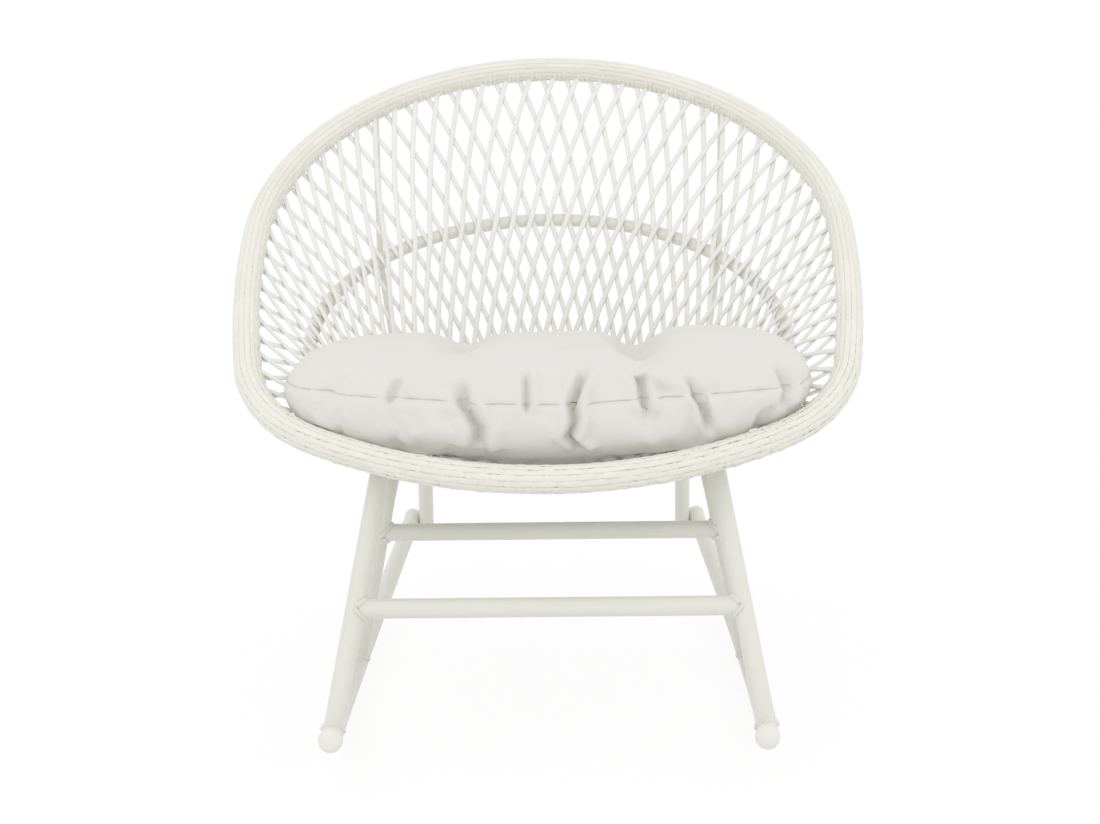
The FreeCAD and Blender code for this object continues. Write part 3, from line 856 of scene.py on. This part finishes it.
@dataclass
class TubeFrame:
    """The welded tubes under and behind the shell, with their weld beads and the plugs in their ends."""

    form: ShellForm
    tubes: tuple[str, ...] = (
        "mid_hoop", "seat_ring", "rocker_left", "rocker_right", "front_leg_left", "front_leg_right",
        "rear_bow_left", "rear_bow_right", "front_stretcher", "rear_stretcher", "back_stay_left",
        "back_stay_right")
    tail_plugs: tuple[str, ...] = ("tail_cap_left", "tail_cap_right")
    end_plugs: tuple[str, ...] = ("front_cap_left", "front_cap_right", "rear_cap_left", "rear_cap_right")
    rocker_radius: float = 1.070
    rocker_lean: float = 22.0
    half_track: float = 0.289
    rocker_low_y: float = -0.040
    rocker_end_y: float = 0.440
    rocker_tube: float = 0.028
    leg_tube: float = 0.025
    leg_foot_y: float = -0.368
    leg_top_x: float = 0.211
    bow_foot_y: float = 0.010
    bow_corner: tuple[float, float, float] = (0.2221, -0.045, 0.330)
    front_stretcher_z: float = 0.203
    rear_stretcher_z: float = 0.224
    bead: float = 0.0078
    bead_spread: float = 1.03
    bead_steps: int = 40
    bead_sides: int = 10
    plug_steps: int = 32
    plug_profile: tuple[tuple[float, float], ...] = (
        (0.0130, -0.0040), (0.0143, -0.0040), (0.0148, -0.0034), (0.0150, -0.0022), (0.0150, 0.0012),
        (0.0146, 0.0034), (0.0135, 0.0057), (0.0116, 0.0077), (0.0090, 0.0092), (0.0060, 0.0102),
        (0.0029, 0.0107), (0.0006, 0.0108))

    def build(self, placed: GrowTree, swept: GrowTree, coat: bpy.types.Material,
              plastic: bpy.types.Material) -> None:
        """Dresses the frame's own tubes and adds the weld beads and the domed plugs.

        Args:
            placed: The tree that places one shape many times.
            swept: The tree that gives a line its section.
            coat: The tubes' material.
            plastic: The plugs' material.
        """
        for names, finish in ((self.tubes, coat), (self.tail_plugs, plastic)):
            for name in names:
                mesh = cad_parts[name].data
                mesh.materials.clear()
                mesh.materials.append(finish)
                LOG.info("%s: %s", name, finish.name)
        beads = swept.grow("weld_beads", self.bead_seed(), {
            "Width": self.bead, "Thickness": self.bead, "Sides": self.bead_sides, "Material": coat})
        settle(beads, [])
        plug = bpy.data.objects.new("plug", self.plug_mesh())
        plugs = placed.grow("rocker_end_plugs", self.plug_seed(), {"Shape": plug, "Material": plastic})
        bpy.data.objects.remove(plug)
        settle(plugs, list(self.end_plugs))

    def rocker(self, side: int, y: float) -> tuple[Vector, Vector]:
        """A rocker's point, and its direction to the back, at a place from front to back."""
        lean = math.radians(self.rocker_lean)
        angle = math.asin((y - self.rocker_low_y) / self.rocker_radius)
        climb = Vector((-side * math.sin(lean), 0, math.cos(lean)))
        back = Vector((0, 1, 0))
        low = Vector((side * self.half_track, self.rocker_low_y, self.rocker_tube / 2))
        rise = climb * (1 - math.cos(angle)) + back * math.sin(angle)
        return low + rise * self.rocker_radius, back * math.cos(angle) + climb * math.sin(angle)

    def leg_top(self, side: int) -> Vector:
        """Where a front leg's line meets the middle hoop."""
        turn = math.pi - math.asin(self.leg_top_x / self.form.hoop_radius)
        return self.form.hoop(side * turn / (2 * math.pi))[0]

    def bead_seed(self) -> bpy.types.Mesh:
        """Closed lines where legs meet rockers and stretchers meet legs."""
        lines = Lines()
        for side in (-1, 1):
            corner = Vector((side * self.bow_corner[0], self.bow_corner[1], self.bow_corner[2]))
            for foot_y, top, height in (
                    (self.leg_foot_y, self.leg_top(side), self.front_stretcher_z),
                    (self.bow_foot_y, corner, self.rear_stretcher_z)):
                foot, along = self.rocker(side, foot_y)
                down = (foot - top).normalized()
                lines.add(self.meeting(top, down, foot, along, self.rocker_tube / 2))
                joint = foot.lerp(top, (height - foot.z) / (top.z - foot.z))
                middle = Vector((0, joint.y, joint.z))
                radius = self.bead_spread * self.leg_tube / 2
                lines.add(self.meeting(middle, Vector((side, 0, 0)), joint, down, radius))
        return lines.mesh("bead_lines")

    def meeting(self, start: Vector, way: Vector, other: Vector, other_way: Vector,
                radius: float) -> list[tuple[Vector, Vector]]:
        """The closed line where a leg tube runs into another tube.

        Args:
            start: A point of the tube's middle line.
            way: Its direction, towards the other tube.
            other: A point of the other tube's middle line.
            other_way: The other tube's direction.
            radius: The other tube's radius.

        Returns:
            The line's points in order, each facing up.
        """
        side = way.orthogonal().normalized()
        third = way.cross(side)
        across = way - other_way * way.dot(other_way)
        line = []
        for step in range(self.bead_steps):
            turn = 2 * math.pi * step / self.bead_steps
            spot = start + (side * math.cos(turn) + third * math.sin(turn)) * (self.leg_tube / 2)
            away = spot - other
            away -= other_way * away.dot(other_way)
            half = away.dot(across)
            room = max(0.0, half * half - across.length_squared * (away.length_squared - radius * radius))
            line.append((spot + way * ((-half - math.sqrt(room)) / across.length_squared), UP))
        return line

    def plug_seed(self) -> bpy.types.Mesh:
        """A point for each rocker's end, with the way out of the tube."""
        points: list[Vector] = []
        out: list[Vector] = []
        for side in (-1, 1):
            for end in (-1, 1):
                point, along = self.rocker(side, end * self.rocker_end_y)
                points.append(point)
                out.append(along * end)
        across = [Vector((1, 0, 0))] * len(points)
        grow = [Vector((1, 1, 1))] * len(points)
        return seed_mesh("plug_points", points, [], {"along": across, "out": out, "grow": grow})

    def plug_mesh(self) -> bpy.types.Mesh:
        """A domed plug whose collar grips the tube's end, its dome towards +Z."""
        turns = [2 * math.pi * step / self.plug_steps for step in range(self.plug_steps)]
        return skin_of_loops("plug", [
            [Vector((radius * math.cos(turn), radius * math.sin(turn), height)) for turn in turns]
            for radius, height in self.plug_profile])


@dataclass(frozen=True)
class Tuck:
    """A pinched fold down the cushion's front, through points across the chair and up."""

    line: tuple[tuple[float, float], ...]
    depth: float
    width: float = 0.0055
    swell: float = 0.45
    cut_off: float = 8.0
    ridge_place: float = 2.6
    ridge_width: float = 1.7
    right_swell: float = 1.35
    left_swell: float = 0.65
    fade_power: int = 6

    def across(self, height: float) -> float:
        """Where the fold is across the chair at a height."""
        for (x0, z0), (x1, z1) in zip(self.line, self.line[1:]):
            if height <= z1:
                return x0 + (x1 - x0) * max(0.0, (height - z0) / (z1 - z0))
        return self.line[-1][0]

    def move(self, spot: Vector) -> float:
        """How far the fold draws the cloth in, or lifts it beside the groove, at a point."""
        away = spot.x - self.across(spot.z)
        if abs(away) > self.cut_off * self.width:
            return 0.0
        low = self.line[0][1]
        high = self.line[-1][1]
        reach = abs(spot.z - (low + high) / 2) / ((high - low) / 2)
        fade = math.exp(-reach ** self.fade_power)
        groove = math.exp(-(away / self.width) ** 2)
        ridge_away = abs(away) - self.ridge_place * self.width
        ridge = math.exp(-(ridge_away / (self.ridge_width * self.width)) ** 2)
        lean = self.right_swell if away > 0 else self.left_swell
        return self.depth * fade * (self.swell * ridge * lean - groove)


@dataclass(frozen=True)
class Tuft:
    """A place where the top is drawn down."""

    x: float
    y: float
    depth: float
    reach_x: float
    reach_y: float

    def drop(self, x: float, y: float) -> float:
        """How far the top comes down at a place."""
        return self.depth * math.exp(-((x - self.x) / self.reach_x) ** 2 - ((y - self.y) / self.reach_y) ** 2)


@dataclass
class SeatCushion:
    """A loose plump cushion of two cloth panels, sewn round its edge and drawn in at its tufts."""

    form: ShellForm
    floor: float = 0.3600
    half_width: float = 0.350
    front_y: float = -0.297
    middle_y: float = -0.100
    back_y: float = 0.215
    back_narrowing: float = 0.36
    plan_power: float = 3.7
    seam_heights: tuple[float, float, float] = (0.459, 0.478, 0.450)
    rise: float = 0.030
    rise_lean: float = 0.020
    dome_power: float = 2.8
    end_power: float = 6.5
    drop: float = 0.115
    drop_power: float = 4.5
    rings: int = 16
    round_steps: int = 120
    voxel: float = 0.005
    pressure: float = 4.0
    frames: int = 20
    most_move: float = 0.014
    clear: float = 0.0012
    rim_radius: float = 0.0195
    fold_back_y: float = -0.17
    fold_fade: float = 0.05
    seam_groove: float = 0.0016
    seam_lift: float = 0.0004
    seam_width: float = 0.0045
    tufts: tuple[Tuft, ...] = (
        Tuft(-0.118, 0.050, 0.020, 0.030, 0.16),
        Tuft(0.124, 0.030, 0.034, 0.034, 0.17),
    )
    valleys: tuple[Tuft, ...] = (
        Tuft(-0.126, 0.060, 0.013, 0.026, 0.24),
        Tuft(0.126, 0.040, 0.019, 0.030, 0.24),
    )
    seam_thread: float = 0.0014
    seam_sides: int = 6
    seam_steps: int = 480
    seam_look: float = 0.6
    under_normal: float = -0.5
    soften_share: float = 0.5
    soften_first: int = 10
    soften_last: int = 4
    shrink: float = -0.03
    skin_steps: int = 144
    skin_levels: int = 24
    skin_middle: float = 0.60
    rim_steps: int = 720
    tucks: tuple[Tuck, ...] = (
        Tuck(((-0.196, 0.462), (-0.184, 0.490)), 0.0070, 0.0050),
        Tuck(((-0.085, 0.398), (-0.083, 0.432), (-0.103, 0.462), (-0.106, 0.480)), 0.0190, 0.0070),
        Tuck(((-0.024, 0.450), (-0.025, 0.494)), 0.0100, 0.0040),
        Tuck(((0.048, 0.398), (0.028, 0.418), (0.036, 0.440), (0.033, 0.460), (0.048, 0.494)),
             0.0190, 0.0052),
        Tuck(((0.126, 0.444), (0.117, 0.494)), 0.0140, 0.0048),
        Tuck(((0.152, 0.472), (0.112, 0.494)), 0.0060, 0.0110),
        Tuck(((0.204, 0.424), (0.197, 0.452), (0.176, 0.488)), 0.0140, 0.0050),
        Tuck(((0.296, 0.448), (0.304, 0.470), (0.292, 0.498)), 0.0120, 0.0052),
    )

    def build(self, finish: bpy.types.Material, thread: bpy.types.Material, swept: GrowTree) -> None:
        """Makes the cushion and the darker line of its seam, partly thread and partly painted shade.

        Args:
            finish: The cloth.
            thread: The seam's line, darker than the cloth: partly its thread, partly painted shade in the
                seam.
            swept: The tree that gives a line its section.
        """
        piece = bpy.data.objects.new("cushion", self.blank())
        bpy.context.scene.collection.objects.link(piece)
        self.even_out(piece)
        self.inflate(piece)
        self.hold_in(piece.data)
        fine = piece.modifiers.new("fine", "SUBSURF")
        fine.levels = 1
        fine.render_levels = 1
        self.apply(piece)
        self.sew(piece.data)
        self.hold_in(piece.data)
        piece.data.materials.clear()
        piece.data.materials.append(finish)
        piece.data.shade_smooth()
        settle(piece, ["seat_cushion"])
        # The seam line is darker than the cloth: partly thread, partly painted shade in the groove.
        seam = swept.grow("cushion_seam", self.seam_seed(piece.data), {
            "Width": self.seam_thread, "Thickness": self.seam_thread, "Sides": self.seam_sides,
            "Material": thread})
        settle(seam, [])

    def edge(self, turn: float) -> Vector:
        """The seam's point at an angle round the cushion, before it swells."""
        across = math.cos(turn)
        back = math.sin(turn)
        power = 2 / self.plan_power
        x = self.half_width * math.copysign(abs(across) ** power, across)
        depth = (self.back_y if back > 0 else self.front_y) - self.middle_y
        share = abs(back) ** power
        front_height, end_height, back_height = self.seam_heights
        if back > 0:
            x *= 1 - self.back_narrowing * share ** 1.5
        height = end_height + ((back_height if back > 0 else front_height) - end_height) * share ** 2
        return Vector((x, self.middle_y + depth * share, height))

    def blank(self) -> bpy.types.Mesh:
        """The cushion's closed form before it swells: a domed top and a deep underside."""
        shares = [number / self.rings for number in range(1, self.rings + 1)]
        levels = [(share, True) for share in shares] + [(share, False) for share in reversed(shares[:-1])]
        turns = [2 * math.pi * step / self.round_steps for step in range(self.round_steps)]
        return skin_of_loops("cushion", [
            [self.panel(turn, share, top) for turn in turns] for share, top in levels])

    def panel(self, turn: float, share: float, top: bool) -> Vector:
        """A point of the top panel or the lower one.

        Args:
            turn: Angle round the cushion.
            share: Share of the way from the middle to the seam.
            top: Whether it is on the top panel.

        Returns:
            The point.
        """
        spot = Vector((0, self.middle_y, self.seam_heights[0])).lerp(self.edge(turn), share)
        if not top:
            return spot - UP * (self.drop * (1 - share ** self.drop_power) ** 0.6)
        power = self.dome_power + self.end_power * math.cos(turn) ** 4
        fall = sum(tuft.drop(spot.x, spot.y) for tuft in self.tufts)
        return spot + UP * ((self.rise + self.rise_lean * spot.x - fall) * (1 - share ** power) ** 0.5)

    def apply(self, piece: bpy.types.Object) -> None:
        """Turns the piece's modifiers into plain mesh."""
        graph = bpy.context.evaluated_depsgraph_get()
        graph.update()
        mesh = bpy.data.meshes.new_from_object(piece.evaluated_get(graph), depsgraph=graph)
        piece.modifiers.clear()
        piece.data = mesh

    def even_out(self, piece: bpy.types.Object) -> None:
        """Gives the form an even mesh with rounded edges, lying in the shell."""
        remesh = piece.modifiers.new("even", "REMESH")
        remesh.mode = "VOXEL"
        remesh.voxel_size = self.voxel
        self.apply(piece)
        self.hold_in(piece.data)
        self.soften(piece, self.soften_first)

    def soften(self, piece: bpy.types.Object, times: int) -> None:
        """Rounds small bumps off the cloth."""
        smooth = piece.modifiers.new("soften", "SMOOTH")
        smooth.factor = self.soften_share
        smooth.iterations = times
        self.apply(piece)

    def inflate(self, piece: bpy.types.Object) -> None:
        """Swells the cloth with its filling, held to a small move."""
        before = [vertex.co.copy() for vertex in piece.data.vertices]
        cloth = piece.modifiers.new("filling", "CLOTH")
        cloth.settings.use_pressure = True
        cloth.settings.uniform_pressure_force = self.pressure
        cloth.settings.effector_weights.gravity = 0
        cloth.settings.shrink_min = self.shrink
        scene = bpy.context.scene
        for number in range(1, self.frames + 1):
            scene.frame_set(number)
        self.apply(piece)
        scene.frame_set(1)
        for vertex, start in zip(piece.data.vertices, before):
            move = vertex.co - start
            if move.length > self.most_move:
                vertex.co = start + move * (self.most_move / move.length)
        self.soften(piece, self.soften_last)

    def inner_skin(self) -> BVHTree:
        """The inside of the strands as a surface to lie against."""
        form = self.form
        offset = -form.lay_offset - form.strand_thickness / 2 - self.clear
        steps = self.skin_steps
        levels = self.skin_levels
        points = []
        for level in range(levels + 1):
            for step in range(steps):
                points.append(form.wall(step / steps, 2 * level / levels, offset)[0])
        faces = []
        for level in range(levels):
            row = level * steps
            for step in range(steps):
                after = (step + 1) % steps
                faces.append((row + step, row + after, row + steps + after, row + steps + step))
        return BVHTree.FromPolygons(points, faces)

    def hold_in(self, mesh: bpy.types.Mesh) -> None:
        """Keeps the cushion off the strands, the net and the rim."""
        skin = self.inner_skin()
        middle = Vector((0, 0, self.skin_middle))
        rim = KDTree(self.rim_steps)
        for number in range(self.rim_steps):
            rim.insert(self.form.rim(number / self.rim_steps)[0], number)
        rim.balance()
        for vertex in mesh.vertices:
            vertex.co.z = max(vertex.co.z, self.floor)
            spot, normal, _, _ = skin.find_nearest(vertex.co)
            inward = normal if normal.dot(middle - spot) > 0 else -normal
            depth = (vertex.co - spot).dot(inward)
            if depth < 0:
                vertex.co += inward * -depth
            centre, _, distance = rim.find(vertex.co)
            if distance < self.rim_radius:
                vertex.co = centre + (vertex.co - centre) * (self.rim_radius / distance)

    def sew(self, mesh: bpy.types.Mesh) -> None:
        """Draws in the seam, the folds along it and the valleys between the lumps."""
        normals = [vertex.normal.copy() for vertex in mesh.vertices]
        for vertex, normal in zip(mesh.vertices, normals):
            if normal.z < self.under_normal:
                continue
            near = min(1.0, max(0.0, (self.fold_back_y - vertex.co.y) / self.fold_fade))
            move = near * sum(tuck.move(vertex.co) for tuck in self.tucks)
            off_seam = abs(vertex.co.z - self.seam_height(vertex.co)) / self.seam_width
            move -= self.seam_groove * math.exp(-off_seam ** 2)
            vertex.co += normal * move
            if normal.z > 0:
                dip = sum(valley.drop(vertex.co.x, vertex.co.y) for valley in self.valleys)
                vertex.co.z -= normal.z * dip

    def seam_height(self, spot: Vector) -> float:
        """Height of the seam in the direction of a point from the middle."""
        across = spot.x / self.half_width
        back = spot.y - self.middle_y
        back /= (self.back_y if back > 0 else self.front_y) - self.middle_y
        share = back * back / max(1e-9, across * across + back * back)
        front_height, end_height, back_height = self.seam_heights
        level = back_height if spot.y > self.middle_y else front_height
        return end_height + (level - end_height) * share ** 2

    def seam_seed(self, mesh: bpy.types.Mesh) -> bpy.types.Mesh:
        """A closed line round the cushion in the bottom of its seam."""
        skin = BVHTree.FromPolygons([vertex.co for vertex in mesh.vertices],
                                    [tuple(face.vertices) for face in mesh.polygons])
        points: list[Vector] = []
        facing: list[Vector] = []
        depth = self.middle_y - self.front_y
        for step in range(self.seam_steps):
            turn = 2 * math.pi * step / self.seam_steps
            way = Vector((math.cos(turn) * self.half_width, math.sin(turn) * depth, 0))
            way.normalize()
            outside = Vector((0, self.middle_y, 0)) + way * self.seam_look
            outside.z = self.seam_height(outside)
            spot, normal, _, _ = skin.ray_cast(outside, -way)
            if spot is not None:
                points.append(spot + normal * self.seam_lift)
                facing.append(normal)
        count = len(points)
        smooth = [(points[k - 1] + points[k] * 2 + points[(k + 1) % count]) / 4 for k in range(count)]
        lines = Lines()
        lines.add(list(zip(smooth, facing)))
        return lines.mesh("seam_line")


@dataclass
class Studio:
    """A plain pale floor, soft light and the camera."""

    camera_place: tuple[float, float, float] = (0.030, -2.150, 0.830)
    pitch: float = 11.5
    yaw: float = 0.77
    roll: float = 0.8
    lens: float = 50.2
    sensor: float = 36.0
    floor_half: float = 30.0
    floor_grey: float = 0.9
    floor_glow: float = 1.03
    floor_white: float = 0.85
    world_light: float = 0.92
    aim_height: float = 0.45
    lamps: tuple[tuple[str, tuple[float, float, float], float, float], ...] = (
        ("key_lamp", (-1.8, -2.4, 3.0), 12.0, 2.2),
        ("fill_lamp", (2.4, -1.2, 2.2), 6.0, 2.0),
    )

    def build(self) -> None:
        """Sets the stage."""
        scene = bpy.context.scene
        scene.view_settings.view_transform = "Standard"
        self.build_world(scene)
        self.build_floor()
        self.build_lamps()
        self.build_camera(scene)

    def build_world(self, scene: bpy.types.Scene) -> None:
        """Soft even light from all round, and white where it is seen."""
        world = bpy.data.worlds.new("studio")
        world.use_nodes = True
        scene.world = world
        bench = Bench(world.node_tree)
        seen = self.seen(bench)
        soft, white = (bench.add("ShaderNodeBackground", None, {"Color": (1, 1, 1, 1), "Strength": strength})
                       for strength in (self.world_light, 1.0))
        mixed = bench.add("ShaderNodeMixShader", None, {0: seen, 1: soft, 2: white})
        bench.add("ShaderNodeOutputWorld", None, {"Surface": mixed})

    @staticmethod
    def seen(bench: Bench) -> Wire:
        """1 where the camera sees a surface itself, in a mirror or through glass."""
        light = bench.add("ShaderNodeLightPath").socket.node
        rays = [Wire(bench, light.outputs[name]) for name in
                ("Is Camera Ray", "Is Glossy Ray", "Is Transmission Ray")]
        return bench.maths("MAXIMUM", rays[0], bench.maths("MAXIMUM", rays[1], rays[2]))

    def build_floor(self) -> None:
        """A white floor that keeps a faint shadow."""
        mesh = bpy.data.meshes.new("floor")
        half = self.floor_half
        corners = [(-half, -half, 0), (half, -half, 0), (half, half, 0), (-half, half, 0)]
        mesh.from_pydata(corners, [], [(0, 1, 2, 3)])
        material = bpy.data.materials.new("white_floor")
        material.use_nodes = True
        bench = Bench(material.node_tree)
        grey = self.floor_grey
        matte = bench.add("ShaderNodeBsdfDiffuse", None, {"Color": (grey, grey, grey, 1)})
        white = bench.add("ShaderNodeEmission", None, {"Color": (1, 1, 1, 1), "Strength": self.floor_glow})
        share = self.seen(bench) * self.floor_white
        mixed = bench.add("ShaderNodeMixShader", None, {0: share, 1: matte, 2: white})
        bench.add("ShaderNodeOutputMaterial", None, {"Surface": mixed})
        mesh.materials.append(material)
        floor = bpy.data.objects.new("studio_floor", mesh)
        bpy.context.scene.collection.objects.link(floor)

    def build_lamps(self) -> None:
        """A broad lamp above the front left and a weaker one from the right."""
        for name, place, power, size in self.lamps:
            lamp = bpy.data.lights.new(name, "AREA")
            lamp.energy = power
            lamp.size = size
            holder = bpy.data.objects.new(name, lamp)
            holder.location = place
            aim = Vector((0, 0, self.aim_height)) - Vector(place)
            holder.rotation_euler = aim.to_track_quat("-Z", "Y").to_euler()
            bpy.context.scene.collection.objects.link(holder)

    def build_camera(self, scene: bpy.types.Scene) -> None:
        """The camera, from the front and a little above."""
        camera = bpy.data.cameras.new("camera")
        camera.lens = self.lens
        camera.sensor_width = self.sensor
        holder = bpy.data.objects.new("camera", camera)
        turn = Matrix.Rotation(math.radians(self.yaw), 4, "Z")
        tip = Matrix.Rotation(math.radians(90 - self.pitch), 4, "X")
        lean = Matrix.Rotation(math.radians(-self.roll), 4, "Z")
        holder.matrix_world = Matrix.Translation(self.camera_place) @ turn @ tip @ lean
        scene.collection.objects.link(holder)
        scene.camera = holder


def main() -> None:
    """Builds the chair's pieces and the studio in order."""
    logging.basicConfig(level=logging.INFO, format="%(message)s")
    form = ShellForm()
    swept = swept_tree()
    placed = placed_tree()
    Studio().build()
    TubeFrame(form).build(placed, swept, FRAME_COAT.make(), PLUG_PLASTIC.make())
    WickerShell(form).build(swept, STRAND_RESIN.make())
    RimBand(form).build(placed, swept, BAND_RESIN.make(), BAND_SLIT_SHADE.make())
    SeatCushion(form).build(CUSHION_CLOTH.make(), SEAM_THREAD_AND_SHADE.make(), swept)


if __name__ == "__main__":
    main()
